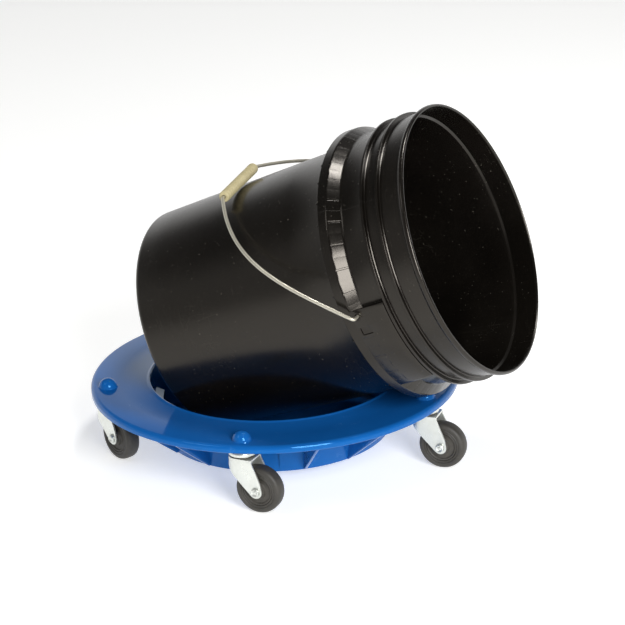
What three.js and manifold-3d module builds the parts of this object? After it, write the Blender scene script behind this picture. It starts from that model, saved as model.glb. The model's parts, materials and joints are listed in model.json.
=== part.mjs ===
// A five-gallon wash bucket lying tilted in its rolling dolly: pail, bail, dolly moulding and five casters.
// Millimetres, +Z up, wheels on z = 0. The bucket's axis lies in the XZ plane and its mouth points to +X.
import * as THREE from 'three';
import { mergeVertices } from 'three/addons/utils/BufferGeometryUtils.js';
import Module from 'manifold-3d';

const wasm = await Module();
wasm.setup();

const DEG = Math.PI / 180;
const GAP = 0.3;

// bucket, in its own frame: Z runs from the bottom to the mouth, Y through the ears, +X towards the bail
const BUCKET_HEIGHT = 365;
const WALL_BASE_R = 129;
const WALL_SLOPE = 0.039;
const WALL_THICKNESS = 2.3;
const HEEL_ROUND = 6.5;
const FLANGE_Z = 260;
const FLANGE_R = 154.3;
const SHELF_LOW_Z = 271.4;
const SHELF_TOP_Z = 284;
const BAND_R = 144.6;
const RING_1_Z = 314.4;
const RING_1_R = 152;
const RING_2_Z = 333.7;
const RING_2_R = 153;
const RIM_R = 153.4;
const GUSSET_COUNT = 36;
const EAR_Z = 277;
const EAR_HOLE_R = 2.7;
const EAR_PAD_ABOVE = 2.8 * DEG;
const EAR_PAD_BELOW = 40.7 * DEG;
const BUCKET_ROLL = 4.8 * DEG;
const BUCKET_SIDES = 56;

// bail
const WIRE_R = 2;
const BAIL_HALF_WIDTH = 163.6;
const BAIL_DEPTH = 207;
const BAIL_REST = 42.9 * DEG;
const GRIP_LENGTH = 88;
const GRIP_R = 6.3;

// dolly
const DECK_Z = 82;
const DECK_R = 213;
const DECK_INNER_R = 143.5;
const LIP_HEIGHT = 1.5;
const PLATE = 3;
const RIM_BAND = 8.5;
const WELL_BOTTOM_Z = 15.4;
const WELL_BOTTOM_R = 133.2;
const DOME_R = 11;
const DOME_HEIGHT = 8.4;
const DOLLY_SIDES = 60;
const HEEL_X = -42.3;

// casters
const CASTER_COUNT = 5;
const CASTER_CIRCLE_R = 193.2;
const CASTER_FIRST = 210.9 * DEG;
const CASTER_HEADINGS = [-28, -3, 2, 14, -12];
const WHEEL_R = 27;
const WHEEL_WIDTH = 17;
const TRAIL = 20;
const CROWN_Z = 61.5;
const FORK_PLATE = 2.3;
const LEG_INNER_Y = 10.4;
const CUP_Z = 66.6;
const CUP_TOP_Z = 71.6;
const CUP_R = 15.5;
const STEM_R = 5.4;
const STEM_TOP_Z = 84;

const BLACK_PLASTIC = { color: 0x1d1b19, roughness: 0.38, metalness: 0 };
const BLUE_PLASTIC = { color: 0x1259a8, roughness: 0.3, metalness: 0 };
const ZINC = { color: 0xd4d8d0, roughness: 0.35, metalness: 0.9 };
const DARK_STEEL = { color: 0x3a3834, roughness: 0.5, metalness: 0.8 };
const WIRE = { color: 0xb8b2a2, roughness: 0.45, metalness: 0.8 };
const IVORY = { color: 0xcfc492, roughness: 0.55, metalness: 0 };
const RUBBER = { color: 0x33302c, roughness: 0.6, metalness: 0 };

const wallR = (z) => WALL_BASE_R + WALL_SLOPE * z;

// A closed solid from any geometry whose surface is closed.
function solid(geometry) {
  const bare = new THREE.BufferGeometry();
  bare.setAttribute('position', geometry.attributes.position);
  if (geometry.index) bare.setIndex(geometry.index);
  const merged = mergeVertices(bare, 1e-4);
  const kept = [];
  const index = merged.index.array;
  for (let i = 0; i < index.length; i += 3) {
    const [a, b, c] = [index[i], index[i + 1], index[i + 2]];
    if (a !== b && b !== c && c !== a) kept.push(a, b, c);
  }
  return new wasm.Manifold(new wasm.Mesh({
    numProp: 3,
    vertProperties: new Float32Array(merged.attributes.position.array),
    triVerts: new Uint32Array(kept),
  }));
}

function mesh(name, body, finish) {
  const result = body.getMesh();
  const geometry = new THREE.BufferGeometry();
  geometry.setAttribute('position', new THREE.BufferAttribute(new Float32Array(result.vertProperties), 3));
  geometry.setIndex(new THREE.BufferAttribute(new Uint32Array(result.triVerts), 1));
  geometry.computeVertexNormals();
  const piece = new THREE.Mesh(geometry, new THREE.MeshStandardMaterial(finish));
  piece.name = name;
  return piece;
}

// Points run counter-clockwise with the radius to the right and z up.
function revolve(points, sides) {
  const outline = points.map(([r, z]) => new THREE.Vector2(r, z));
  return solid(new THREE.LatheGeometry(outline, sides).rotateX(Math.PI / 2));
}

function revolveRing(points, sides) {
  return revolve([...points, points[0]], sides);
}

function plate(points, thickness) {
  const shape = new THREE.Shape(points.map(([x, y]) => new THREE.Vector2(x, y)));
  return new THREE.ExtrudeGeometry(shape, { depth: thickness, bevelEnabled: false, steps: 1 });
}

// A slice of a thick tube about Z, between two angles and two heights.
function sector(innerR, outerR, start, end, low, high, steps) {
  const points = [];
  for (let i = 0; i <= steps; i++) {
    const angle = start + ((end - start) * i) / steps;
    points.push([outerR * Math.cos(angle), outerR * Math.sin(angle)]);
  }
  for (let i = steps; i >= 0; i--) {
    const angle = start + ((end - start) * i) / steps;
    points.push([innerR * Math.cos(angle), innerR * Math.sin(angle)]);
  }
  return solid(plate(points, high - low).translate(0, 0, low));
}

function cylinderZ(radius, low, high, sides) {
  return solid(new THREE.CylinderGeometry(radius, radius, high - low, sides)
    .rotateX(Math.PI / 2).translate(0, 0, (low + high) / 2));
}

function cylinderY(radius, low, high, sides, x, z) {
  return solid(new THREE.CylinderGeometry(radius, radius, high - low, sides)
    .translate(x, (low + high) / 2, z));
}

function arc(cx, cy, radius, from, to, steps) {
  const points = [];
  for (let i = 0; i <= steps; i++) {
    const angle = (from + ((to - from) * i) / steps) * DEG;
    points.push([cx + radius * Math.cos(angle), cy + radius * Math.sin(angle)]);
  }
  return points;
}

// ---- bucket ----

function bucketProfile() {
  const outside = [
    [0, 2.4], [117, 2.4], [119.5, 0],
    ...arc(wallR(HEEL_ROUND) - HEEL_ROUND, HEEL_ROUND, HEEL_ROUND, -90, 0, 3),
    [wallR(283), 283], [142.8, 283],
    [FLANGE_R - 2, SHELF_LOW_Z - 0.6], [FLANGE_R - 2, FLANGE_Z], [FLANGE_R, FLANGE_Z],
    [FLANGE_R, SHELF_LOW_Z], [BAND_R, SHELF_TOP_Z],
    [BAND_R + 0.6, RING_1_Z - 3.6], [RING_1_R, RING_1_Z - 3.2], [RING_1_R, RING_1_Z], [147.2, RING_1_Z + 0.5],
    [148, RING_2_Z - 3.6], [RING_2_R, RING_2_Z - 3.2], [RING_2_R, RING_2_Z], [148.6, RING_2_Z + 0.5],
    [149.6, BUCKET_HEIGHT - 7.5], [RIM_R, BUCKET_HEIGHT - 5.5], [RIM_R, BUCKET_HEIGHT - 1.8],
    [RIM_R - 1.6, BUCKET_HEIGHT],
  ];
  const inside = [
    [149.4, BUCKET_HEIGHT - 0.8], [148.2, 340], [145.6, 335.5], [144.6, 315], [142.3, 288.5],
    [wallR(284) - WALL_THICKNESS, 284.5], [wallR(10) - WALL_THICKNESS, 10], [123.5, 5.2], [0, 5.2],
  ];
  return [...outside, ...inside];
}

// Thin upright webs that join the hanging flange to the wall, left out where the ears are.
function flangeGussets() {
  const pitch = (2 * Math.PI) / GUSSET_COUNT;
  const webs = [];
  const radial = [[wallR(FLANGE_Z) - 1, FLANGE_Z - 3], [FLANGE_R - 1, FLANGE_Z - 3],
    [FLANGE_R - 1, SHELF_LOW_Z], [wallR(SHELF_LOW_Z) - 1, 282]];
  for (let i = 0; i < GUSSET_COUNT; i++) {
    if (i * 4 === GUSSET_COUNT || i * 4 === GUSSET_COUNT * 3) continue;
    webs.push(solid(plate(radial, 1.6).translate(0, 0, -0.8).rotateX(Math.PI / 2).rotateZ(i * pitch)));
  }
  return webs;
}

// One ear: a flush pad over the shelf and band, with the wire's hole and a small moulded recess.
function addEar(shell, side) {
  const middle = side * 90 * DEG;
  const low = middle + side * EAR_PAD_BELOW;
  const high = middle - side * EAR_PAD_ABOVE;
  const pad = sector(143.6, FLANGE_R, Math.min(low, high), Math.max(low, high), SHELF_LOW_Z - 0.5,
    RING_1_Z - 3.4, 12);
  const bore = cylinderY(EAR_HOLE_R, 141, 160, 12, 0, EAR_Z).rotate([0, 0, side < 0 ? 180 : 0]);
  const recessAngle = middle + side * 6.8 * DEG;
  const recess = sector(FLANGE_R - 1.2, FLANGE_R + 2, recessAngle - 1.5 * DEG, recessAngle + 1.5 * DEG,
    EAR_Z - 4, EAR_Z + 10, 2);
  return shell.add(pad).subtract(bore).subtract(recess);
}

function bucketShell() {
  let shell = revolve(bucketProfile(), BUCKET_SIDES);
  for (const web of flangeGussets()) shell = shell.add(web);
  shell = addEar(shell, 1);
  shell = addEar(shell, -1);
  return mesh('bucket_shell', shell, BLACK_PLASTIC);
}

// ---- bail, in a frame whose origin is on the ear axis: Y through the ears, X along the bail's depth ----

function bailWire() {
  const section = new THREE.Shape();
  section.absarc(0, 0, WIRE_R, 0, 2 * Math.PI);
  const loop = new THREE.ExtrudeGeometry(section, {
    extrudePath: bailPath(), steps: 66, curveSegments: 4, bevelEnabled: false,
  });
  let wire = solid(loop);
  for (const side of [1, -1]) {
    const low = side > 0 ? 143.2 : -BAIL_HALF_WIDTH;
    const high = side > 0 ? BAIL_HALF_WIDTH : -143.2;
    wire = wire.add(cylinderY(WIRE_R, low, high, 8, 0, 0));
    wire = wire.add(solid(new THREE.SphereGeometry(WIRE_R, 8, 6).translate(0, side * BAIL_HALF_WIDTH, 0)));
  }
  return mesh('bail_wire', wire, WIRE);
}

// Half of the loop, from an ear to the straight part that the grip turns on, mirrored for the other half.
// Sections sit on the listed points and midway between them.
function bailPath() {
  const flat = GRIP_LENGTH / 2 + 2.8;
  const half = [];
  const steps = 14;
  for (let i = 0; i <= steps; i++) {
    const turn = (i / steps) * Math.PI / 2;
    const y = flat + (BAIL_HALF_WIDTH - flat) * Math.cos(turn) ** 2;
    half.push(new THREE.Vector3(BAIL_DEPTH * Math.sin(turn) ** 0.54, y, 0));
  }
  half.push(new THREE.Vector3(BAIL_DEPTH, flat * 0.8, 0), new THREE.Vector3(BAIL_DEPTH, flat * 0.4, 0));
  const mirrored = half.map((p) => new THREE.Vector3(p.x, -p.y, 0)).reverse();
  const path = new THREE.CatmullRomCurve3([...half, ...mirrored], false, 'centripetal');
  path.getPointAt = path.getPoint;
  return path;
}

function bailGrip() {
  const half = GRIP_LENGTH / 2;
  const bore = WIRE_R + 0.5;
  const grip = revolveRing([
    [bore, -half], [GRIP_R - 1, -half], [GRIP_R, -half + 1.5], [GRIP_R, half - 1.5], [GRIP_R - 1, half], [bore, half],
  ], 14).rotate([90, 0, 0]).translate([BAIL_DEPTH, 0, 0]);
  return mesh('bail_grip', grip, IVORY);
}

function bail() {
  const group = new THREE.Group();
  group.position.set(0, 0, EAR_Z);
  group.rotation.y = Math.PI / 2 - BAIL_REST;
  group.add(bailWire(), bailGrip());
  return group;
}

// The heel's rounding stands on the well's floor and the wall leans on the lip of the deck.
function bucketTilt() {
  const heelZ = WELL_BOTTOM_Z + PLATE + GAP + HEEL_ROUND;
  const dx = DECK_INNER_R + 1.6 - HEEL_X;
  const dz = DECK_Z + LIP_HEIGHT + GAP - heelZ;
  return Math.atan2(dz, dx) + Math.asin(HEEL_ROUND / Math.hypot(dx, dz)) + Math.atan(WALL_SLOPE);
}

function bucket() {
  const tilt = bucketTilt();
  const heelR = wallR(HEEL_ROUND) - HEEL_ROUND;
  const heelZ = WELL_BOTTOM_Z + PLATE + GAP + HEEL_ROUND;
  const group = new THREE.Group();
  group.position.set(
    HEEL_X - HEEL_ROUND * Math.cos(tilt) - heelR * Math.sin(tilt),
    0,
    heelZ - HEEL_ROUND * Math.sin(tilt) + heelR * Math.cos(tilt),
  );
  group.rotation.order = 'YZX';
  group.rotation.y = Math.PI / 2 - tilt;
  group.rotation.z = Math.PI + BUCKET_ROLL;
  group.add(bucketShell(), bail());
  return group;
}

// ---- dolly ----

const casterAngle = (i) => CASTER_FIRST + (i * 2 * Math.PI) / CASTER_COUNT;

function dollyOuter() {
  return revolve([
    [0, WELL_BOTTOM_Z], [WELL_BOTTOM_R - 1, WELL_BOTTOM_Z], [WELL_BOTTOM_R, WELL_BOTTOM_Z + 1],
    [DECK_INNER_R + 3.4, DECK_Z - PLATE], [DECK_R - 4.5, DECK_Z - PLATE],
    [DECK_R - 2.8, DECK_Z - RIM_BAND], [DECK_R, DECK_Z - RIM_BAND],
    ...arc(DECK_R - 5, DECK_Z - 5, 5, 0, 90, 3),
    [DECK_INNER_R + 4.5, DECK_Z], [DECK_INNER_R + 2.6, DECK_Z + LIP_HEIGHT],
    [DECK_INNER_R + 0.6, DECK_Z + LIP_HEIGHT], [0, DECK_Z + LIP_HEIGHT],
  ], DOLLY_SIDES);
}

function dollyHollow() {
  const floor = WELL_BOTTOM_Z + PLATE;
  return revolve([
    [0, floor], [WELL_BOTTOM_R - PLATE - 1.5, floor], [WELL_BOTTOM_R - PLATE + 0.4, floor + 2],
    [DECK_INNER_R, DECK_Z], [DECK_INNER_R + 0.6, DECK_Z + LIP_HEIGHT],
    [DECK_INNER_R + 0.6, DECK_Z + 9], [0, DECK_Z + 9],
  ], DOLLY_SIDES);
}

// The well's wall steps in behind each caster so that its wheel can swing past.
function pocket(i, innerR, halfAngle, low, high) {
  const middle = casterAngle(i);
  return sector(innerR, DECK_INNER_R + 12, middle - halfAngle, middle + halfAngle, low, high, 4);
}

function dollyGusset(angle) {
  const web = plate([
    [WELL_BOTTOM_R - 1.5, WELL_BOTTOM_Z + 1], [WELL_BOTTOM_R + 2, WELL_BOTTOM_Z + 1],
    [DECK_R - 6, DECK_Z - RIM_BAND + 1], [DECK_R - 6, DECK_Z - 1], [DECK_INNER_R + 2, DECK_Z - 1],
  ], 3);
  return solid(web.translate(0, 0, -1.5).rotateX(Math.PI / 2).rotateZ(angle));
}

function dome() {
  const sphereR = (DOME_R ** 2 + DOME_HEIGHT ** 2) / (2 * DOME_HEIGHT);
  const centre = DECK_Z + DOME_HEIGHT - sphereR;
  const start = Math.asin((DECK_Z - 1 - centre) / sphereR) / DEG;
  return revolve([[0, DECK_Z - 1], ...arc(0, centre, sphereR, start, 90, 4)], 16);
}

function dollyBase() {
  let base = dollyOuter();
  let hollow = dollyHollow();
  const pocketTop = CROWN_Z + 6.5;
  for (let i = 0; i < CASTER_COUNT; i++) {
    base = base.subtract(pocket(i, WELL_BOTTOM_R, 12 * DEG, WELL_BOTTOM_Z - 1, pocketTop));
    hollow = hollow.subtract(pocket(i, WELL_BOTTOM_R - PLATE, 13.2 * DEG, WELL_BOTTOM_Z, pocketTop + PLATE));
  }
  base = base.subtract(hollow);
  for (let i = 0; i < CASTER_COUNT; i++) {
    const angle = casterAngle(i);
    base = base.add(dollyGusset(angle + 24.3 * DEG)).add(dollyGusset(angle - 24.3 * DEG));
    const at = [CASTER_CIRCLE_R * Math.cos(angle), CASTER_CIRCLE_R * Math.sin(angle), 0];
    base = base.add(dome().translate(at)).add(cylinderZ(9.5, CUP_TOP_Z + GAP, DECK_Z - 1, 16).translate(at));
    base = base.subtract(cylinderZ(STEM_R + 0.9, CUP_TOP_Z - 1, STEM_TOP_Z + 1, 12).translate(at));
  }
  return mesh('dolly_base', base, BLUE_PLASTIC);
}

// ---- caster, with its kingpin on Z and its wheel trailing along +X ----

function casterStem() {
  return revolve([
    [0, CROWN_Z - 2.4], [5, CROWN_Z - 2.4], [6.5, CROWN_Z - 1.4], [6.5, CROWN_Z - GAP], [4, CROWN_Z - GAP],
    [4, CUP_TOP_Z + GAP], [STEM_R, CUP_TOP_Z + GAP], [STEM_R, 77], [4.3, 77], [4.3, 80.6],
    [STEM_R, 80.6], [STEM_R - 0.8, STEM_TOP_Z], [0, STEM_TOP_Z],
  ], 10);
}

function casterRing() {
  return sector(4.7, STEM_R + 0.5, 20 * DEG, 340 * DEG, 77.3, 80.3, 10);
}

function casterCup() {
  return revolveRing([
    [4.4, CUP_TOP_Z - 1.6], [12.6, CUP_TOP_Z - 1.6], [13.6, CUP_Z], [CUP_R, CUP_Z],
    [CUP_R - 0.6, CUP_TOP_Z - 0.8], [CUP_R - 1.6, CUP_TOP_Z], [4.4, CUP_TOP_Z],
  ], 16);
}

function casterBalls() {
  const low = CROWN_Z + FORK_PLATE + GAP;
  return revolveRing([
    [7, low], [12, low], [12.3, CUP_TOP_Z - 2], [7, CUP_TOP_Z - 2],
  ], 14);
}

function forkLeg() {
  const front = arc(TRAIL, WHEEL_R, 7, -140, 5, 6);
  const outline = [
    ...front, [21.5, 46], [17.2, 57], [15.5, CROWN_Z + FORK_PLATE],
    [-16, CROWN_Z + FORK_PLATE], [-16, 54], [-10, 47],
  ];
  return plate(outline, FORK_PLATE).rotateX(Math.PI / 2).translate(0, FORK_PLATE, 0);
}

function casterFork() {
  const outerY = LEG_INNER_Y + FORK_PLATE;
  const crown = new THREE.BoxGeometry(31.5, outerY * 2, FORK_PLATE)
    .translate(-0.25, 0, CROWN_Z + FORK_PLATE / 2);
  let fork = solid(crown);
  fork = fork.add(solid(forkLeg().translate(0, LEG_INNER_Y, 0)));
  fork = fork.add(solid(forkLeg().translate(0, -outerY, 0)));
  fork = fork.subtract(cylinderZ(4.5, CROWN_Z - 1, CROWN_Z + FORK_PLATE + 1, 12));
  return fork.subtract(cylinderY(4.3, -outerY - 1, outerY + 1, 12, TRAIL, WHEEL_R));
}

const boltHeadY = LEG_INNER_Y + FORK_PLATE + GAP;

function casterAxle() {
  const end = boltHeadY + 6;
  const bolt = revolve([
    [0, -boltHeadY - 2.4], [3.6, -boltHeadY - 2.4], [4.8, -boltHeadY - 1.2], [4.8, -boltHeadY], [3.9, -boltHeadY],
    [3.9, end - 0.8], [3.2, end], [0, end],
  ], 10);
  return bolt.rotate([-90, 0, 0]).translate([TRAIL, 0, WHEEL_R]);
}

function casterNut() {
  const nut = cylinderY(6.6, boltHeadY, boltHeadY + 4.6, 6, TRAIL, WHEEL_R);
  return nut.subtract(cylinderY(4.3, 0, boltHeadY + 9, 12, TRAIL, WHEEL_R));
}

function onAxle(body) {
  return body.rotate([-90, 0, 0]).translate([TRAIL, 0, WHEEL_R]);
}

function casterHub() {
  const half = WHEEL_WIDTH / 2;
  return onAxle(revolveRing([
    [4.3, -half - 0.8], [8.4, -half - 0.8], [9.2, -half + 1.8], [15.5, -half + 2.6], [17.4, -half + 1],
    [17.4, half - 1], [15.5, half - 2.6], [9.2, half - 1.8], [8.4, half + 0.8], [4.3, half + 0.8],
  ], 16));
}

function casterTyre() {
  const half = WHEEL_WIDTH / 2;
  return onAxle(revolveRing([
    [17.7, -half + 0.4], [WHEEL_R - 4, -half], [WHEEL_R - 1.4, -half + 1.6], [WHEEL_R, -half + 5],
    [WHEEL_R, half - 5], [WHEEL_R - 1.4, half - 1.6], [WHEEL_R - 4, half], [17.7, half - 0.4],
  ], 24));
}

function caster(i) {
  const group = new THREE.Group();
  const angle = casterAngle(i);
  group.position.set(CASTER_CIRCLE_R * Math.cos(angle), CASTER_CIRCLE_R * Math.sin(angle), 0);
  group.rotation.z = CASTER_HEADINGS[i] * DEG;
  const prefix = `caster_${i + 1}_`;
  group.add(
    mesh(`${prefix}stem`, casterStem(), ZINC),
    mesh(`${prefix}ring`, casterRing(), DARK_STEEL),
    mesh(`${prefix}cup`, casterCup(), ZINC),
    mesh(`${prefix}balls`, casterBalls(), DARK_STEEL),
    mesh(`${prefix}fork`, casterFork(), ZINC),
    mesh(`${prefix}axle`, casterAxle(), ZINC),
    mesh(`${prefix}nut`, casterNut(), ZINC),
    mesh(`${prefix}hub`, casterHub(), RUBBER),
    mesh(`${prefix}tyre`, casterTyre(), RUBBER),
  );
  return group;
}

const model = new THREE.Group();
model.add(dollyBase(), bucket());
for (let i = 0; i < CASTER_COUNT; i++) model.add(caster(i));

// The origin is under the middle of the whole part's box.
model.updateMatrixWorld(true);
const box = new THREE.Box3().setFromObject(model, true);
model.position.set(-(box.min.x + box.max.x) / 2, -(box.min.y + box.max.y) / 2, -box.min.z);

export default model;
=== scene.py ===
import bpy
import json
import math
from mathutils import Matrix, Vector


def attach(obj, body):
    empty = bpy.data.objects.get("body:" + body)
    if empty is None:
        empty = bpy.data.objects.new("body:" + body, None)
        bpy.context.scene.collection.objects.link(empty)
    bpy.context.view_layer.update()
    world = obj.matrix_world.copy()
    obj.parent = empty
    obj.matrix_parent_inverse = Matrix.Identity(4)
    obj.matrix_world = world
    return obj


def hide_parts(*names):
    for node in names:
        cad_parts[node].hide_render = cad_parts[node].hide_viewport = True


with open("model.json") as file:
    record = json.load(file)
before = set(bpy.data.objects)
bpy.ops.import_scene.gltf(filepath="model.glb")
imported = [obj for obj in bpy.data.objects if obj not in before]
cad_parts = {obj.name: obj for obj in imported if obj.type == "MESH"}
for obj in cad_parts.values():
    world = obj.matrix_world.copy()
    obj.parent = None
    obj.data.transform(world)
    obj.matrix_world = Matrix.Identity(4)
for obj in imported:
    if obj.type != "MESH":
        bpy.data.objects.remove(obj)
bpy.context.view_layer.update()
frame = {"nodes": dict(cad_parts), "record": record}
mm = 0.001
print("frame loaded")

# where the parts stand
layout = {
    "dollyX": -44.443,
    "bucketOrigin": (-137.771, 0, 137.034),
    "bucketTilt": 21.495,
    "bucketRoll": 4.8,
    "earHeight": 277,
    "bailRest": 42.9,
    "casterCount": 5,
    "casterCircle": 193.2,
    "casterFirst": 210.9,
    "casterHeadings": (-28, -3, 2, 14, -12),
    "wheelTurns": (20, 65, 110, 200, 305),
}

dollyPlace = Matrix.Translation((layout["dollyX"] * mm, 0, 0))
bucketPlace = (
    Matrix.Translation(Vector(layout["bucketOrigin"]) * mm)
    @ Matrix.Rotation(math.radians(90 - layout["bucketTilt"]), 4, "Y")
    @ Matrix.Rotation(math.radians(180 + layout["bucketRoll"]), 4, "Z")
)
bailPlace = (
    bucketPlace
    @ Matrix.Translation((0, 0, layout["earHeight"] * mm))
    @ Matrix.Rotation(math.radians(90 - layout["bailRest"]), 4, "Y")
)


# modelling helpers

def clearSelection():
    if bpy.context.object and bpy.context.object.mode != "OBJECT":
        bpy.ops.object.mode_set(mode="OBJECT")
    bpy.ops.object.select_all(action="DESELECT")


def choose(shape):
    clearSelection()
    shape.select_set(True)
    bpy.context.view_layer.objects.active = shape


# draws a chain of edges through the points, starting from one merged plane
def traceOutline(name, points):
    clearSelection()
    bpy.ops.mesh.primitive_plane_add(size=0.002)
    shape = bpy.context.object
    shape.name = name
    bpy.ops.object.mode_set(mode="EDIT")
    bpy.ops.mesh.select_mode(type="VERT")
    bpy.ops.mesh.select_all(action="SELECT")
    bpy.ops.mesh.merge(type="CENTER")
    places = [Vector(p) * mm for p in points]
    bpy.ops.transform.translate(value=places[0])
    for near, far in zip(places, places[1:]):
        bpy.ops.mesh.extrude_vertices_move(TRANSFORM_OT_translate={"value": far - near})
    bpy.ops.mesh.select_all(action="SELECT")
    return shape


def closeUp(threshold=2e-5):
    bpy.ops.mesh.select_all(action="SELECT")
    bpy.ops.mesh.remove_doubles(threshold=threshold)
    bpy.ops.mesh.normals_make_consistent(inside=False)
    bpy.ops.object.mode_set(mode="OBJECT")


# points are (radius, height); a ring comes back to its first point
def turned(name, points, steps):
    shape = traceOutline(name, [(r, 0, z) for r, z in points])
    bpy.ops.mesh.spin(steps=steps, angle=math.tau, center=(0, 0, 0), axis=(0, 0, 1))
    closeUp()
    return shape


def turnedRing(name, points, steps):
    return turned(name, list(points) + [points[0]], steps)


# a closed outline swept part of the way round Z
def sweptSector(name, points, start, sweep, steps):
    begin = Matrix.Rotation(math.radians(start), 3, "Z")
    shape = traceOutline(name, [begin @ Vector((r, 0, z)) for r, z in points])
    bpy.ops.mesh.edge_face_add()
    bpy.ops.mesh.spin(steps=steps, angle=-math.radians(sweep), center=(0, 0, 0), axis=(0, 0, 1))
    closeUp()
    return shape


# a flat outline given thickness along a direction
def plateFrom(name, points, thickness):
    shape = traceOutline(name, points)
    bpy.ops.mesh.edge_face_add()
    bpy.ops.mesh.extrude_region_move(TRANSFORM_OT_translate={"value": Vector(thickness) * mm})
    closeUp()
    return shape


def applyModifier(shape, kind, **settings):
    choose(shape)
    modifier = shape.modifiers.new(kind.title(), kind)
    for key, value in settings.items():
        setattr(modifier, key, value)
    bpy.ops.object.modifier_apply(modifier=modifier.name)
    return shape


def softened(shape, width, segments=2, angle=32):
    return applyModifier(
        shape, "BEVEL", width=width * mm, segments=segments,
        limit_method="ANGLE", angle_limit=math.radians(angle), harden_normals=False,
    )


def combined(shape, tool, operation):
    applyModifier(shape, "BOOLEAN", object=tool, operation=operation, solver="EXACT")
    bpy.data.objects.remove(tool)
    return shape


# a round bar standing along Z or lying along Y
def roundBar(radius, length, place, lying=False, sides=32):
    clearSelection()
    bpy.ops.mesh.primitive_cylinder_add(
        vertices=sides, radius=radius * mm, depth=length * mm, location=Vector(place) * mm,
        rotation=(math.pi / 2 if lying else 0, 0, 0))
    return bpy.context.object


def copied(shape, place, name=None):
    twin = shape.copy()
    twin.data = shape.data.copy()
    twin.name = name or shape.name
    bpy.context.scene.collection.objects.link(twin)
    twin.data.transform(place)
    return twin


def joined(shape, others):
    choose(shape)
    for other in others:
        other.select_set(True)
    bpy.ops.object.join()
    return shape


def settled(shape, place, angle):
    choose(shape)
    shape.matrix_world = place
    bpy.ops.object.transform_apply(location=True, rotation=True, scale=True)
    bpy.ops.object.shade_smooth_by_angle(angle=math.radians(angle))
    return shape


def arcPoints(cx, cy, radius, start, end, steps):
    turn = [math.radians(start + (end - start) * i / steps) for i in range(steps + 1)]
    return [(cx + radius * math.cos(a), cy + radius * math.sin(a)) for a in turn]


# material helpers

class Value:
    def __init__(self, paint, socket):
        self.paint = paint
        self.socket = socket

    def mathNode(self, operation, first, second):
        return self.paint.add("ShaderNodeMath", {"operation": operation}, {0: first, 1: second})

    def __add__(self, other):
        return self.mathNode("ADD", self, other)

    def __radd__(self, other):
        return self.mathNode("ADD", other, self)

    def __sub__(self, other):
        return self.mathNode("SUBTRACT", self, other)

    def __rsub__(self, other):
        return self.mathNode("SUBTRACT", other, self)

    def __mul__(self, other):
        return self.mathNode("MULTIPLY", self, other)

    def __rmul__(self, other):
        return self.mathNode("MULTIPLY", other, self)

    def __truediv__(self, other):
        return self.mathNode("DIVIDE", self, other)

    def __pow__(self, other):
        return self.mathNode("POWER", self, other)


class Paint:
    def __init__(self, name):
        self.material = bpy.data.materials.new(name)
        self.material.use_nodes = True
        self.tree = self.material.node_tree
        self.shader = self.tree.nodes["Principled BSDF"]
        self.coordinates = self.tree.nodes.new("ShaderNodeTexCoord").outputs["Object"]

    def add(self, kind, settings, inputs, output=0):
        node = self.tree.nodes.new(kind)
        for key, value in settings.items():
            if key == "stops":
                ramp = node.color_ramp
                while len(ramp.elements) < len(value):
                    ramp.elements.new(0.5)
                for element, (position, shade) in zip(ramp.elements, value):
                    element.position = position
                    element.color = (shade, shade, shade, 1)
            else:
                setattr(node, key, value)
        for key, value in inputs.items():
            if isinstance(value, Value):
                self.tree.links.new(value.socket, node.inputs[key])
            elif isinstance(value, bpy.types.NodeSocket):
                self.tree.links.new(value, node.inputs[key])
            else:
                node.inputs[key].default_value = value
        return Value(self, node.outputs[output])

    # coordinates in the piece's own axes
    def placed(self, place):
        return self.add("ShaderNodeMapping", {"vector_type": "TEXTURE"}, {
            "Vector": self.coordinates, "Location": place.translation, "Rotation": place.to_euler()})

    def split(self, local):
        return [self.add("ShaderNodeSeparateXYZ", {}, {"Vector": local}, i) for i in range(3)]

    def noise(self, vector, scale, detail, roughness, distortion=0):
        return self.add("ShaderNodeTexNoise", {}, {
            "Vector": vector, "Scale": scale, "Detail": detail,
            "Roughness": roughness, "Distortion": distortion})

    def ramp(self, factor, *stops):
        return self.add("ShaderNodeValToRGB", {"stops": stops}, {0: factor})

    def blend(self, factor, first, second):
        return self.add("ShaderNodeMix", {"data_type": "RGBA"}, {0: factor, 6: first, 7: second}, 2)

    # 1 inside low..high, with soft ends
    def window(self, value, low, high, edge):
        rise = self.add("ShaderNodeMapRange", {"interpolation_type": "SMOOTHSTEP"}, {
            "Value": value, "From Min": low - edge, "From Max": low + edge})
        fall = self.add("ShaderNodeMapRange", {"interpolation_type": "SMOOTHSTEP"}, {
            "Value": value, "From Min": high - edge, "From Max": high + edge})
        return rise * (1 - fall)

    def finish(self, color, roughness, height=None, distance=0.0005, strength=1.0, metallic=None, **fixed):
        inputs = {"Base Color": color, "Roughness": roughness, "Metallic": metallic}
        for key, value in inputs.items():
            if isinstance(value, Value):
                self.tree.links.new(value.socket, self.shader.inputs[key])
            elif value is not None:
                self.shader.inputs[key].default_value = value
        for key, value in fixed.items():
            self.shader.inputs[key.replace("_", " ")].default_value = value
        if height is not None:
            bump = self.add("ShaderNodeBump", {}, {
                "Height": height, "Distance": distance, "Strength": strength})
            self.tree.links.new(bump.socket, self.shader.inputs["Normal"])
        return self.material


def scratches(paint, vector, scale, stretch, sharp):
    stretched = paint.add("ShaderNodeMapping", {}, {
        "Vector": vector, "Scale": stretch, "Rotation": (0.3, 0.2, 0.5)})
    lines = paint.noise(stretched, scale, 2, 0.5, 0.6)
    return paint.ramp(lines, (0, 0), (sharp, 0), (sharp + 0.012, 1), (sharp + 0.03, 0), (1, 0))


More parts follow.
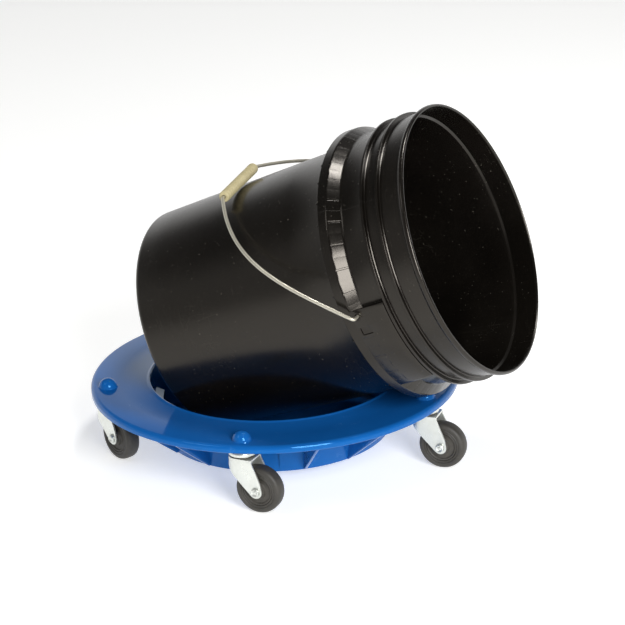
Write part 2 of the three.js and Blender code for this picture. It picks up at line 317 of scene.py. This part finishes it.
bucketLook = {
    "color": (0.0030, 0.0025, 0.0020, 1),
    "dusty": (0.015, 0.012, 0.009, 1),
    "scuff": (0.11, 0.10, 0.08, 1),
    "roughness": 0.23,
    "webs": 36,
    "shelf": (0.2718, 0.2838),
    "seams": 4,
    "seamHeights": (0.262, 0.331),
}


def bucketMaterial():
    paint = Paint("blackPailPlastic")
    local = paint.placed(bucketPlace)
    x, y, z = paint.split(local)
    angle = paint.add("ShaderNodeMath", {"operation": "ARCTAN2"}, {0: y, 1: x})
    nearest = paint.add("ShaderNodeMath", {"operation": "PINGPONG"}, {
        0: angle * (bucketLook["webs"] / math.tau), 1: 0.5})
    shelf = paint.window(z, *bucketLook["shelf"], 0.0004)
    ribLine = (1 - paint.window(nearest, 0.035, 2, 0.012)) * shelf
    sag = nearest * nearest * shelf
    seamTurn = angle * (bucketLook["seams"] / math.tau) + 0.5
    seamGap = paint.add("ShaderNodeMath", {"operation": "PINGPONG"}, {0: seamTurn, 1: 0.5})
    seam = 1 - paint.window(seamGap, 0.0014, 2, 0.0006)
    seam = seam * paint.window(z, *bucketLook["seamHeights"], 0.0004)
    grain = paint.noise(local, 2600, 2, 0.5)
    peel = paint.noise(local, 260, 3, 0.5)
    waves = paint.noise(local, 21, 3, 0.45)
    clouds = paint.noise(local, 9, 5, 0.6)
    specks = paint.ramp(paint.noise(local, 420, 2, 0.4), (0, 0), (0.735, 0), (0.775, 1), (1, 1))
    around = paint.add("ShaderNodeCombineXYZ", {}, {0: angle * 0.15, 1: z, 2: 0.0})
    scuffA = scratches(paint, around, 62, (0.5, 3.2, 1), 0.60)
    scuffB = scratches(paint, around, 38, (3.0, 0.45, 1), 0.63)
    scuffed = paint.ramp(clouds, (0, 0), (0.48, 0), (0.66, 1), (1, 1))
    scuff = (scuffA + scuffB) * scuffed
    dust = paint.ramp(clouds, (0, 0), (0.42, 0.05), (0.75, 0.6), (1, 1))
    base = paint.blend(dust * 0.3, bucketLook["color"], bucketLook["dusty"])
    base = paint.blend(scuff * 0.07, base, bucketLook["scuff"])
    base = paint.blend(specks * 0.55, base, bucketLook["scuff"])
    rough = bucketLook["roughness"] + (clouds - 0.5) * 0.16 + scuff * 0.04
    rough = rough + specks * 0.2 + (peel - 0.5) * 0.05
    height = (
        waves * 0.5 + peel * 0.06 + grain * 0.012 - ribLine * 0.32 - sag * 1.3
        + seam * 0.3 + scuff * 0.015
    )
    return paint.finish(base, rough, height, 0.0006, 0.8, Specular_IOR_Level=0.42,
                        Specular_Tint=(1.0, 0.92, 0.82, 1))


deckLook = {
    "color": (0.0045, 0.088, 0.325, 1),
    "lighter": (0.006, 0.102, 0.37, 1),
    "scuff": (0.05, 0.17, 0.42, 1),
    "roughness": 0.06,
}


def deckMaterial():
    paint = Paint("blueDollyPlastic")
    local = paint.placed(dollyPlace)
    x, y, z = paint.split(local)
    angle = paint.add("ShaderNodeMath", {"operation": "ARCTAN2"}, {0: y, 1: x})
    peel = paint.noise(local, 340, 3, 0.5)
    waves = paint.noise(local, 16, 3, 0.4)
    clouds = paint.noise(local, 12, 5, 0.6)
    around = paint.add("ShaderNodeCombineXYZ", {}, {0: angle * 0.19, 1: (x * x + y * y) ** 0.5, 2: z})
    hair = scratches(paint, around, 52, (0.7, 3.5, 1), 0.62)
    hair = hair * paint.ramp(clouds, (0, 0), (0.5, 0), (0.64, 1), (1, 1))
    pale = paint.ramp(clouds, (0, 0), (0.3, 0), (0.75, 1), (1, 1))
    base = paint.blend(pale, deckLook["color"], deckLook["lighter"])
    base = paint.blend(hair * 0.4, base, deckLook["scuff"])
    rough = deckLook["roughness"] + clouds * 0.05 + hair * 0.2
    height = waves * 0.12 + peel * 0.015 + hair * 0.03
    return paint.finish(base, rough, height, 0.0006, 0.5, Specular_Tint=(0.2, 0.6, 1.0, 1))


def zincMaterial():
    paint = Paint("zincPlate")
    grain = paint.noise(paint.coordinates, 900, 4, 0.6)
    clouds = paint.noise(paint.coordinates, 70, 4, 0.6)
    along = paint.add("ShaderNodeMapping", {}, {"Vector": paint.coordinates, "Scale": (1, 1, 0.1)})
    drawn = paint.noise(along, 1500, 2, 0.5)
    grime = paint.ramp(clouds, (0, 0), (0.5, 0), (0.8, 1), (1, 1))
    base = paint.blend(grime * 0.35, (0.70, 0.72, 0.68, 1), (0.42, 0.43, 0.38, 1))
    rough = 0.30 + (clouds - 0.5) * 0.18 + (grain - 0.5) * 0.1
    return paint.finish(base, rough, grain * 0.4 + drawn * 0.3, 0.0001, 0.5, 0.8 - grime * 0.1)


def cageMaterial():
    paint = Paint("greasedSteel")
    clouds = paint.noise(paint.coordinates, 240, 4, 0.6)
    base = paint.blend(clouds, (0.035, 0.031, 0.025, 1), (0.11, 0.10, 0.085, 1))
    return paint.finish(base, 0.35 + clouds * 0.25, clouds, 0.0002, 0.5, 0.6)


def wireMaterial():
    paint = Paint("galvanisedWire")
    streaks = paint.noise(paint.coordinates, 160, 5, 0.65)
    spots = paint.ramp(paint.noise(paint.coordinates, 420, 3, 0.5), (0, 0), (0.55, 0), (0.7, 1), (1, 1))
    base = paint.blend(spots * 0.5, (0.56, 0.53, 0.44, 1), (0.30, 0.27, 0.20, 1))
    rough = 0.36 + (streaks - 0.5) * 0.3
    return paint.finish(base, rough, streaks, 0.0001, 0.5, 0.75 - spots * 0.3)


def gripMaterial():
    paint = Paint("ivoryGripPlastic")
    clouds = paint.noise(paint.coordinates, 60, 5, 0.6)
    fine = paint.noise(paint.coordinates, 900, 3, 0.5)
    dirt = paint.ramp(clouds, (0, 0), (0.4, 0.1), (0.8, 0.8), (1, 1))
    base = paint.blend(dirt * 0.5, (0.47, 0.41, 0.23, 1), (0.24, 0.19, 0.085, 1))
    return paint.finish(base, 0.48 + clouds * 0.15, fine * 0.3 + clouds * 0.2, 0.0002, 0.6)


def wheelMaterial(name, color, worn):
    paint = Paint(name)
    clouds = paint.noise(paint.coordinates, 55, 5, 0.6)
    fine = paint.noise(paint.coordinates, 1300, 3, 0.55)
    chips = paint.ramp(paint.noise(paint.coordinates, 330, 3, 0.5), (0, 0), (0.6, 0), (0.68, 1), (1, 1))
    dust = paint.ramp(clouds, (0, 0), (0.35, 0.1), (0.75, 0.9), (1, 1))
    base = paint.blend(dust * 0.6 + chips * 0.2, color, worn)
    rough = 0.46 + clouds * 0.16 + chips * 0.08
    return paint.finish(base, rough, fine * 0.25 + clouds * 0.2 - chips * 0.12, 0.0003, 0.6)


finishes = {
    "bucket_plastic": bucketMaterial(),
    "dolly_plastic": deckMaterial(),
    "zinc_plate": zincMaterial(),
    "cage_steel": cageMaterial(),
    "wire_steel": wireMaterial(),
    "grip_plastic": gripMaterial(),
    "hub_plastic": wheelMaterial("wheelHubPlastic", (0.032, 0.029, 0.024, 1), (0.088, 0.080, 0.068, 1)),
    "tread_rubber": wheelMaterial("wheelTread", (0.026, 0.024, 0.020, 1), (0.078, 0.071, 0.060, 1)),
}


def keep(shape, slot, body, *nodes):
    shape.data.materials.clear()
    shape.data.materials.append(finishes[slot])
    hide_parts(*nodes)
    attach(shape, body)


for part in frame["record"]["subparts"]:
    node = frame["nodes"][part["node"]]
    node.data.materials.clear()
    node.data.materials.append(finishes[part["material_slot"]])
print("materials made")

# bucket: one shell turned about its axis, with webs, ears and a foot ring
bucket = {
    "height": 365, "steps": 180, "baseR": 129.0, "slope": 0.039, "wall": 2.3,
    "flangeZ": 260, "flangeR": 154.3, "shelfLow": 271.4, "shelfTop": 284,
    "webCount": 36, "webThick": 1.5, "earWebs": (9, 27),
    "earZ": 277, "earR": 154, "earHoleR": 2.7, "padAbove": 2.8, "padBelow": 40.7,
    "dishR": 154.6, "dishTurn": 6.8, "dishRise": 3, "dishSize": (4.4, 9, 12),
    "beadR": 4.6, "beadThick": 0.55, "beadOut": 153.9,
}


def wallRadius(z):
    return bucket["baseR"] + bucket["slope"] * z


def wallInside(z):
    return wallRadius(z) - bucket["wall"], z


def bucketOutline():
    b = bucket
    heel = arcPoints(wallRadius(6.5) - 6.5, 6.5, 6.5, -90, 2, 6)
    outside = [(0, 2.4), (60, 2.4), (117, 2.4), (118.2, 1.6), (119.2, 0.3), (120, 0)] + heel + [
        (wallRadius(40), 40), (wallRadius(90), 90), (wallRadius(150), 150), (wallRadius(210), 210),
        (wallRadius(282), 282), (wallRadius(283) + 0.6, 283), (142.8, 283), (146.8, 278),
        (b["flangeR"] - 2, b["shelfLow"] - 0.6), (b["flangeR"] - 2, b["flangeZ"] + 0.4),
        (b["flangeR"] - 1.6, b["flangeZ"]), (b["flangeR"] - 0.4, b["flangeZ"]),
        (b["flangeR"], b["flangeZ"] + 0.4), (b["flangeR"], b["shelfLow"] - 1.8),
        (b["flangeR"], b["shelfLow"] - 1), (b["flangeR"] - 0.5, b["shelfLow"] + 0.5),
        (153.4, 272.43), (146.01, 282.07), (145.6, b["shelfTop"] - 1.4),
        (144.7, b["shelfTop"] + 0.4), (144.7, b["shelfTop"] + 1.6), (144.7, b["shelfTop"] + 4),
        (145.1, 309), (145.6, 310.7), (151.4, 311.1), (152, 311.6), (152, 313.9), (151.5, 314.4),
        (147.8, 314.7), (147.2, 315.4), (147.9, 329.4), (148.5, 330.0), (152.4, 330.4), (153, 330.9),
        (153, 333.2), (152.5, 333.7), (149.2, 334.1), (148.6, 334.8), (149.5, 356.6), (150.3, 357.5),
        (152.6, 359), (153.3, 360.4), (153.4, 362), (153.1, 363.4), (152.3, 364.5), (151.2, b["height"]),
    ]
    inside = [
        (150.2, 364.8), (149.5, 363.8), (149.3, 362), (148.3, 341), (148.1, 338.6), (145.7, 336.6),
        (145.1, 334), (143.4, 318), (141.7, 303), (140.2, 292), (139, 285), (138, 278),
        wallInside(268), wallInside(200), wallInside(110), wallInside(12),
        (126.2, 8.2), (124.2, 6), (121, 5.2), (60, 5.2), (0, 5.2),
    ]
    return outside + inside


def flangeWeb():
    z, r = bucket["flangeZ"], bucket["flangeR"]
    half = bucket["webThick"] / 2
    outline = [(138.4, -half, z - 2.4), (140.5, -half, z - 3), (r - 2.2, -half, z - 3),
               (r - 1.2, -half, z - 2), (r - 1.2, -half, 271), (142, -half, 283.6), (138.4, -half, 283.6)]
    return softened(plateFrom("flangeWeb", outline, (0, bucket["webThick"], 0)), 0.35, 1)


# the pad is flush with the flange, pierced for the wire and dished beside it
def bucketEar(side):
    b = bucket
    sweep = b["padAbove"] + b["padBelow"]
    start = 90 - b["padAbove"] if side > 0 else -90 - b["padBelow"]
    outline = [(143.6, b["shelfLow"] - 1.2), (b["flangeR"] - 0.02, b["shelfLow"] - 1.2), (b["flangeR"], 302),
               (152.8, 310.9), (143.6, 310.9)]
    ear = sweptSector("ear", outline, start, sweep, 30)
    hole = roundBar(b["earHoleR"], 20, (0, side * b["earR"], b["earZ"]), True)
    combined(ear, hole, "DIFFERENCE")
    lean = math.radians(side * (90 + b["dishTurn"]))
    dish = (b["dishR"] * math.cos(lean), b["dishR"] * math.sin(lean), b["earZ"] + b["dishRise"])
    clearSelection()
    bpy.ops.mesh.primitive_cube_add(size=mm, location=Vector(dish) * mm, rotation=(0, 0, lean))
    bpy.context.object.scale = b["dishSize"]
    bpy.ops.object.transform_apply(scale=True)
    combined(ear, bpy.context.object, "DIFFERENCE")
    softened(ear, 0.45, 2, 40)
    bead = turnedRing("earBead", arcPoints(b["beadR"], 0, b["beadThick"], 0, 330, 9), 40)
    out = Matrix.Translation((0, side * b["beadOut"] * mm, b["earZ"] * mm))
    bead.data.transform(out @ Matrix.Rotation(math.pi / 2, 4, "X"))
    return joined(ear, [bead])


shell = turned("bucketShell", bucketOutline(), bucket["steps"])
web = flangeWeb()
webs = []
for i in range(bucket["webCount"]):
    if i not in bucket["earWebs"]:
        webs.append(copied(web, Matrix.Rotation(math.tau * i / bucket["webCount"], 4, "Z")))
bpy.data.objects.remove(web)
joined(shell, webs + [bucketEar(1), bucketEar(-1)])
settled(shell, bucketPlace, 34)
keep(shell, "bucket_plastic", "bucket", "bucket_shell")
print("bucket shell", len(shell.data.polygons))

# bail: one wire through both ears, with a moulded roll on its middle
bail = {
    "wireR": 2.0, "halfWidth": 163.6, "depth": 207, "flat": 46.8, "pinEnd": 143.4, "pinBend": 150,
    "steps": 26, "crowding": 1.35, "fullness": 0.54, "bendEnd": 8,
}
grip = {"length": 88, "radius": 6.3, "bore": 2.5, "ribs": 13}


def bailPoints():
    points = [(0, bail["pinEnd"], 0), (0, bail["pinBend"], 0), (0, bail["halfWidth"] - 3.4, 0)]
    points += [(1.2, bail["halfWidth"] - 0.9, 0), (4.4, bail["halfWidth"], 0)]
    for i in range(1, bail["steps"] + 1):
        turn = (i / bail["steps"]) ** bail["crowding"] * math.pi / 2
        reach = bail["depth"] * math.sin(turn) ** bail["fullness"]
        across = bail["flat"] + (bail["halfWidth"] - bail["flat"]) * math.cos(turn) ** 2
        if reach > bail["bendEnd"]:
            points.append((reach, across, 0))
    points += [(bail["depth"], bail["flat"] * 0.7, 0), (bail["depth"], bail["flat"] * 0.25, 0)]
    return points + [(x, -y, z) for x, y, z in reversed(points)]


def bailWire():
    clearSelection()
    bpy.ops.curve.primitive_nurbs_path_add()
    wire = bpy.context.object
    wire.name = "bailWire"
    wire.data.splines.clear()
    points = bailPoints()
    line = wire.data.splines.new("NURBS")
    line.points.add(len(points) - 1)
    for point, place in zip(line.points, points):
        point.co = (*(Vector(place) * mm), 1)
    line.use_endpoint_u = True
    line.order_u = 3
    line.resolution_u = 4
    wire.data.bevel_depth = bail["wireR"] * mm
    wire.data.bevel_resolution = 4
    wire.data.use_fill_caps = True
    choose(wire)
    bpy.ops.object.convert(target="MESH")
    wire = bpy.context.object
    bpy.ops.object.mode_set(mode="EDIT")
    closeUp(1e-6)
    return wire


def bailGrip():
    half, r, bore = grip["length"] / 2, grip["radius"], grip["bore"]
    outline = [(bore, -half), (r - 1.4, -half), (r - 0.3, -half + 0.8), (r, -half + 2), (r, -half + 4.4)]
    pitch = (grip["length"] - 10) / grip["ribs"]
    for i in range(grip["ribs"]):
        low = -half + 5 + i * pitch
        outline += [(r - 0.7, low), (r - 0.8, low + 0.9), (r - 0.05, low + 1.7), (r, low + pitch * 0.6),
                    (r - 0.1, low + pitch - 0.4)]
    outline += [(r, half - 4.4), (r, half - 2), (r - 0.3, half - 0.8), (r - 1.4, half), (bore, half)]
    return turnedRing("bailGrip", outline, 48)


wire = settled(bailWire(), bailPlace, 40)
keep(wire, "wire_steel", "bail", "bail_wire")
gripPlace = bailPlace @ Matrix.Translation((bail["depth"] * mm, 0, 0)) @ Matrix.Rotation(math.pi / 2, 4, "X")
roll = settled(bailGrip(), gripPlace, 35)
keep(roll, "grip_plastic", "grip", "bail_grip")
print("bail and grip")

# dolly: deck ring, well, pockets, ribs and domes
dolly = {
    "deckZ": 82, "deckR": 213, "innerR": 143.5, "lip": 1.5, "plate": 3, "band": 8.5,
    "wellZ": 15.4, "wellR": 133.2, "domeR": 11, "domeHeight": 10.2, "steps": 180,
    "ribAngle": 24.3, "ribThick": 3,
    "pocketAngle": 12, "pocketWall": 1.2, "pocketTop": 68, "pocketOuter": 158, "pocketFall": 12,
}


def casterAngle(i):
    return layout["casterFirst"] + 360 / layout["casterCount"] * i


def dollySolid():
    d = dolly
    rim = arcPoints(d["deckR"] - 5, d["deckZ"] - 5, 5, 0, 90, 8)
    outline = [
        (0, d["wellZ"]), (60, d["wellZ"]), (d["wellR"] - 2, d["wellZ"]),
        (d["wellR"] - 0.5, d["wellZ"] + 0.5), (d["wellR"], d["wellZ"] + 2),
        (d["innerR"] + 2.9, d["deckZ"] - 5.4), (d["innerR"] + 3.6, d["deckZ"] - 3.8),
        (d["innerR"] + 5, d["deckZ"] - 3), (d["deckR"] - 5.6, d["deckZ"] - 3),
        (d["deckR"] - 3.4, d["deckZ"] - 4.6), (d["deckR"] - 2.8, d["deckZ"] - d["band"] + 0.5),
        (d["deckR"] - 2.3, d["deckZ"] - d["band"]), (d["deckR"] - 0.6, d["deckZ"] - d["band"]),
        (d["deckR"], d["deckZ"] - d["band"] + 0.6),
    ]
    outline += rim + [
        (180, d["deckZ"]), (d["innerR"] + 5.4, d["deckZ"]), (d["innerR"] + 4, d["deckZ"] + 0.4),
        (d["innerR"] + 2.9, d["deckZ"] + 1.3), (d["innerR"] + 2, d["deckZ"] + d["lip"]),
        (d["innerR"] + 1.1, d["deckZ"] + 1.2), (d["innerR"] + 0.5, d["deckZ"] + 0.4),
        (0, d["deckZ"] + 0.4),
    ]
    return turned("dollyBase", outline, d["steps"])


def wellHollow():
    d = dolly
    floor = d["wellZ"] + d["plate"]
    return turned("wellHollow", [
        (0, floor), (60, floor), (d["wellR"] - 5.4, floor), (d["wellR"] - 3.6, floor + 0.8),
        (d["wellR"] - 2.6, floor + 3), (d["innerR"] - 0.6, d["deckZ"] - 2),
        (d["innerR"] + 0.5, d["deckZ"] + 0.42), (d["innerR"] + 0.6, d["deckZ"] + 9),
        (0, d["deckZ"] + 9)], d["steps"])


# the roof falls towards the well
def pocketCutter(name, i, inner, half, low, high):
    outer = dolly["pocketOuter"]
    outline = [(inner, low), (outer, low), (outer, high), (inner, high - dolly["pocketFall"])]
    return sweptSector(name, outline, casterAngle(i) - half, half * 2, 12)


def dollyRib(angle):
    d = dolly
    r, z = d["deckR"], d["deckZ"]
    half = d["ribThick"] / 2
    outline = [(d["wellR"] - 1.5, -half, d["wellZ"] + 1), (d["wellR"] + 2, -half, d["wellZ"] + 1),
               (r - 6, -half, z - d["band"] + 1), (r - 6, -half, z - 1), (d["innerR"] + 2, -half, z - 1)]
    rib = softened(plateFrom("dollyRib", outline, (0, d["ribThick"], 0)), 0.6, 2)
    rib.data.transform(Matrix.Rotation(math.radians(angle), 4, "Z"))
    return rib


def dollyDome():
    r, h, z = dolly["domeR"], dolly["domeHeight"], dolly["deckZ"]
    cap = arcPoints(0, z + h - r, r, 6, 90, 9)
    outline = [(0, z - 1), (r + 0.9, z - 1), (r + 0.8, z + 0.1), (r + 0.2, z + 0.4)] + cap
    return turned("dollyDome", outline, 48)


def dollySocket():
    return turnedRing("dollySocket", [(6.3, 71.9), (9.2, 71.9), (9.6, 72.4), (10.2, 80), (6.3, 80)], 32)


base = dollySolid()
hollow = wellHollow()
for i in range(layout["casterCount"]):
    outside = pocketCutter(
        "pocket", i, dolly["wellR"], dolly["pocketAngle"], dolly["wellZ"] - 1, dolly["pocketTop"])
    combined(base, outside, "DIFFERENCE")
    inside = pocketCutter(
        "pocketInner", i, dolly["wellR"] - dolly["plate"], dolly["pocketAngle"] + dolly["pocketWall"],
        dolly["wellZ"], dolly["pocketTop"] + dolly["plate"])
    combined(hollow, inside, "DIFFERENCE")
combined(base, hollow, "DIFFERENCE")
extras = []
dome, socket = dollyDome(), dollySocket()
toCaster = Matrix.Translation((layout["casterCircle"] * mm, 0, 0))
for i in range(layout["casterCount"]):
    angle = casterAngle(i)
    spot = Matrix.Rotation(math.radians(angle), 4, "Z") @ toCaster
    extras += [dollyRib(angle + dolly["ribAngle"]), dollyRib(angle - dolly["ribAngle"])]
    extras += [copied(dome, spot), copied(socket, spot)]
bpy.data.objects.remove(dome)
bpy.data.objects.remove(socket)
joined(base, extras)
settled(base, dollyPlace, 30)
keep(base, "dolly_plastic", "dolly", "dolly_base")
print("dolly", len(base.data.polygons))

# casters: kingpin on Z, the wheel trails along +X
caster = {
    "trail": 20, "axleZ": 27, "wheelR": 27, "halfWidth": 8.5, "crownZ": 61.5, "plate": 2.2,
    "cheek": 12.7, "back": -3.2, "axleHoleR": 4.3, "stemHoleR": 4.6,
    "nutR": 6.6, "nutThick": 4.6, "nutHoleR": 4.2, "nutGap": 2.65,
}


def casterFork():
    c = caster
    r, t, top = c["cheek"], c["plate"], c["crownZ"] + c["plate"]
    front = arcPoints(c["back"], 0, r, 90, 270, 18)
    outer = [(34, r)] + front + [(34, -r)]
    fork = plateFrom("casterFork", [(x, y, 12) for x, y in outer], (0, 0, top - 12))
    cavity = [(36, r - t)] + arcPoints(c["back"], 0, r - t, 90, 270, 18) + [(36, t - r)]
    hollow = plateFrom("forkCavity", [(x, y, 10) for x, y in cavity], (0, 0, c["crownZ"] - 10))
    combined(fork, hollow, "DIFFERENCE")
    tip = arcPoints(c["trail"], c["axleZ"], 7.4, -138, 8, 10)
    side = tip + [(25.8, 37), (23.2, 44), (20.2, 51), (17.6, 56.5), (16.2, 60), (15.8, top + 1),
                  (-16, top + 1), (-16, 54), (-13.4, 50.8), (-9.5, 46.8), (-3.8, 41), (3.6, 33.4)]
    trim = plateFrom("forkTrim", [(x, -20, z) for x, z in side], (0, 40, 0))
    combined(fork, trim, "INTERSECT")
    combined(fork, roundBar(c["stemHoleR"], 20, (0, 0, top)), "DIFFERENCE")
    combined(fork, roundBar(c["axleHoleR"], 60, (c["trail"], 0, c["axleZ"]), True), "DIFFERENCE")
    return softened(fork, 0.55, 3, 40)


def casterCup():
    return turnedRing("casterCup", [
        (4.4, 70.0), (11.6, 70.0), (12.8, 69.2), (13.6, 66.8), (14.2, 66.4), (15.2, 66.6),
        (15.5, 67.2), (15.2, 69.4), (14.6, 70.8), (13.4, 71.6), (11, 71.6), (4.4, 71.6)], 64)


def casterBalls():
    return turnedRing("casterBalls", [
        (7, 64.1), (13.2, 64.1), (13.6, 64.5), (13.4, 65.2), (12.4, 65.6), (12.5, 68.8),
        (12, 69.6), (7, 69.6)], 64)


def onAxle():
    centre = Matrix.Translation((caster["trail"] * mm, 0, caster["axleZ"] * mm))
    return centre @ Matrix.Rotation(-math.pi / 2, 4, "X")


def casterHub():
    h = caster["halfWidth"]
    side = [(8.2, -h - 0.8), (8.8, -h - 0.4), (9.2, -h + 1.6), (9.8, -h + 2.3), (12.2, -h + 2.8),
            (14.8, -h + 2.5), (15.4, -h + 1.3), (16.1, -h + 0.9), (17, -h + 1.0), (17.4, -h + 1.4)]
    outline = [(4.3, -h - 0.8)] + side + [(r, -z) for r, z in reversed(side)] + [(4.3, h + 0.8)]
    return turnedRing("casterHub", outline, 72)


def casterTyre():
    h = caster["halfWidth"]
    r = caster["wheelR"]
    side = [(17.7, -h + 1.2), (18.2, -h + 0.6), (19.3, -h + 0.5), (19.8, -h + 0.9), (20.4, -h + 0.9),
            (20.9, -h + 0.2), (22.2, -h), (23.6, -h + 0.2), (25.0, -h + 0.9), (26.0, -h + 2.0),
            (26.6, -h + 3.4), (r - 0.1, -h + 5), (r, -2)]
    outline = side + [(r, 0)] + [(x, -z) for x, z in reversed(side)]
    return turnedRing("casterTyre", outline, 96)


def casterAxle():
    e = caster["cheek"] + 0.35
    end = e + 6
    return turned("casterAxle", [
        (0, -e - 1.9), (1.6, -e - 1.9), (2.2, -e - 1.5), (2.8, -e - 1.9), (3.9, -e - 2.4),
        (4.7, -e - 1.9), (5.0, -e - 1), (4.9, -e), (3.9, -e), (3.9, end - 1.9), (3.6, end - 1.6),
        (3.9, end - 1.2), (3.6, end - 0.5), (3, end), (0, end)], 40)


def casterNut():
    c = caster
    centre = (c["trail"], c["cheek"] + c["nutGap"], c["axleZ"])
    nut = roundBar(c["nutR"], c["nutThick"], centre, True, 6)
    nut.name = "casterNut"
    bpy.ops.object.transform_apply(location=True, rotation=True)
    combined(nut, roundBar(c["nutHoleR"], 20, centre, True), "DIFFERENCE")
    return softened(nut, 0.5, 2, 40)


def placedOnAxle(shape):
    shape.data.transform(onAxle())
    return shape


casterParts = [
    (casterFork(), "fork", "zinc_plate", "swivel"),
    (casterCup(), "cup", "zinc_plate", None),
    (casterBalls(), "balls", "cage_steel", "swivel"),
    (placedOnAxle(casterAxle()), "axle", "zinc_plate", "swivel"),
    (casterNut(), "nut", "zinc_plate", "swivel"),
    (placedOnAxle(casterHub()), "hub", "hub_plastic", "wheel"),
    (placedOnAxle(casterTyre()), "tyre", "tread_rubber", "wheel"),
]
for i in range(layout["casterCount"]):
    angle, circle = math.radians(casterAngle(i)), layout["casterCircle"]
    spot = Matrix.Translation((
        (layout["dollyX"] + circle * math.cos(angle)) * mm, circle * math.sin(angle) * mm, 0))
    spot = spot @ Matrix.Rotation(math.radians(layout["casterHeadings"][i]), 4, "Z")
    turn = onAxle() @ Matrix.Rotation(math.radians(layout["wheelTurns"][i]), 4, "Z") @ onAxle().inverted()
    for shape, part, slot, body in casterParts:
        twin = copied(shape, turn if body == "wheel" else Matrix(), f"casterPiece{i + 1}.{part}")
        settled(twin, spot, 35)
        keep(twin, slot, f"caster_{i + 1}_{body}" if body else "dolly", f"caster_{i + 1}_{part}")
for entry in casterParts:
    bpy.data.objects.remove(entry[0])
print("casters")

# floor, camera and lights
studio = {
    "cameraTurn": 23.58, "cameraX": 46.5, "cameraBack": 2654.6, "cameraZ": 1170.9, "down": 20.97,
    "roll": -0.040, "lens": 142.606, "sensor": 36,
    "floorSize": 14, "floorGlow": 0.5, "horizon": 1.0, "ceiling": 0.10, "frontHorizon": 0.45,
}
lights = (
    ("frontSoftbox", 159, 25, 3.3, (1.2, 1.6), 110),
    ("topSoftbox", 53, 71, 2.3, (0.5, 0.4), 22),
    ("leftFill", -120, 48, 2.6, (0.7, 0.7), 5),
)


def addCamera():
    s = studio
    down = math.radians(s["down"])
    right, up = Vector((1, 0, 0)), Vector((0, math.sin(down), math.cos(down)))
    ahead = Vector((0, math.cos(down), -math.sin(down)))
    c, k = math.cos(s["roll"]), math.sin(s["roll"])
    rolledRight, rolledUp = c * right + k * up, c * up - k * right
    turn = Matrix((rolledRight, rolledUp, -ahead)).transposed().to_4x4()
    place = Matrix.Translation(Vector((s["cameraX"], -s["cameraBack"], s["cameraZ"])) * mm) @ turn
    camera = bpy.data.objects.new("camera", bpy.data.cameras.new("camera"))
    camera.matrix_world = dollyPlace @ Matrix.Rotation(math.radians(s["cameraTurn"]), 4, "Z") @ place
    camera.data.sensor_width = s["sensor"]
    camera.data.lens = s["lens"]
    bpy.context.scene.collection.objects.link(camera)
    bpy.context.scene.camera = camera


def addFloor():
    clearSelection()
    bpy.ops.mesh.primitive_plane_add(size=studio["floorSize"], location=(0, 0, 0))
    floor = bpy.context.object
    floor.name = "floor"
    paint = Paint("paleFloor")
    tone = paint.noise(paint.coordinates, 3, 3, 0.5)
    floor.data.materials.append(paint.finish(
        paint.blend(tone, (0.83, 0.83, 0.82, 1), (0.85, 0.85, 0.84, 1)), 0.7,
        Emission_Color=(1, 1, 0.99, 1), Emission_Strength=studio["floorGlow"]))


# placed by compass turn from the far side, height angle and distance, as the camera sees it
def addLight(name, turn, climb, distance, size, power):
    light = bpy.data.lights.new(name, "AREA")
    light.shape = "RECTANGLE"
    light.size, light.size_y = size
    light.energy = power
    turn, climb = math.radians(turn), math.radians(climb)
    away = Vector((math.sin(turn) * math.cos(climb), math.cos(turn) * math.cos(climb), math.sin(climb)))
    away = Matrix.Rotation(math.radians(studio["cameraTurn"]), 3, "Z") @ away
    lamp = bpy.data.objects.new(name, light)
    lamp.location = away * distance + Vector((0, 0, 0.2))
    lamp.rotation_euler = (-away).to_track_quat("-Z", "Y").to_euler()
    bpy.context.scene.collection.objects.link(lamp)


# bright near the horizon behind the part, softer in front of it, dim overhead
def addWorld():
    world = bpy.data.worlds.new("studio")
    world.use_nodes = True
    bpy.context.scene.world = world
    tree = world.node_tree
    direction = tree.nodes.new("ShaderNodeTexCoord")
    split = tree.nodes.new("ShaderNodeSeparateXYZ")
    fade = tree.nodes.new("ShaderNodeMapRange")
    fade.interpolation_type = "SMOOTHSTEP"
    climb = {"From Min": 0.30, "From Max": 0.55, "To Min": studio["horizon"], "To Max": studio["ceiling"]}
    for key, value in climb.items():
        fade.inputs[key].default_value = value
    tree.links.new(direction.outputs["Generated"], split.inputs["Vector"])
    tree.links.new(split.outputs["Z"], fade.inputs["Value"])
    back = tree.nodes.new("ShaderNodeVectorMath")
    back.operation = "DOT_PRODUCT"
    view = Matrix.Rotation(math.radians(studio["cameraTurn"]), 3, "Z")
    back.inputs[1].default_value = view @ Vector((0, 1, 0))
    sides = tree.nodes.new("ShaderNodeMapRange")
    around = {"From Min": -0.3, "From Max": 0.5, "To Min": studio["frontHorizon"], "To Max": 1.0}
    for key, value in around.items():
        sides.inputs[key].default_value = value
    both = tree.nodes.new("ShaderNodeMath")
    both.operation = "MULTIPLY"
    tree.links.new(direction.outputs["Generated"], back.inputs[0])
    tree.links.new(back.outputs["Value"], sides.inputs["Value"])
    tree.links.new(fade.outputs["Result"], both.inputs[0])
    tree.links.new(sides.outputs["Result"], both.inputs[1])
    tree.links.new(both.outputs["Value"], tree.nodes["Background"].inputs["Strength"])
    tree.nodes["Background"].inputs["Color"].default_value = (1, 1, 1, 1)


addCamera()
addFloor()
addWorld()
for light in lights:
    addLight(*light)
bpy.context.scene.view_settings.view_transform = "Standard"
print("studio")
